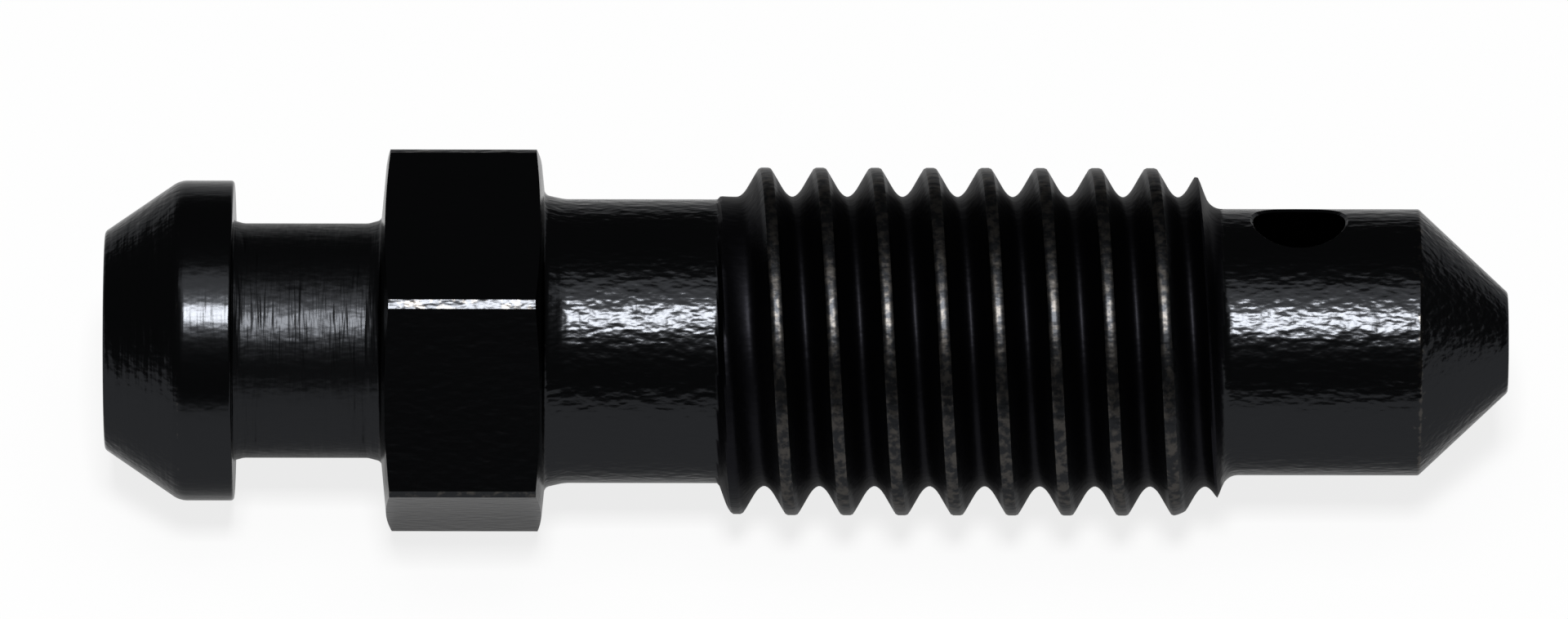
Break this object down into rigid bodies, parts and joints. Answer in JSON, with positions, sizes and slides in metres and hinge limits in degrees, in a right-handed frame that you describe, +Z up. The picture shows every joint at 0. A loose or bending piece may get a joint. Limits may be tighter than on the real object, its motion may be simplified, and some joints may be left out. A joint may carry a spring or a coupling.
{
  "type": "bleeder screw",
  "caption": "Right-hand threaded bleeder screw with a hose nipple, hexagon, plain shank, drilled spigot and conical seat.",
  "frame": {"origin": "on the ground under the middle of the screw's length, with the screw lying on a flat of its hexagon", "axes": "+X along the screw towards its seat cone, +Z up, +Y to the back across two corners of the hexagon"},
  "size_m": [0.0318, 0.0092, 0.008],
  "materials": {
    "black_steel": "turned steel, black oxide, oiled and glossy"
  },
  "bodies": {
    "root": {"bleeder_screw": "black_steel"}
  },
  "joints": []
}
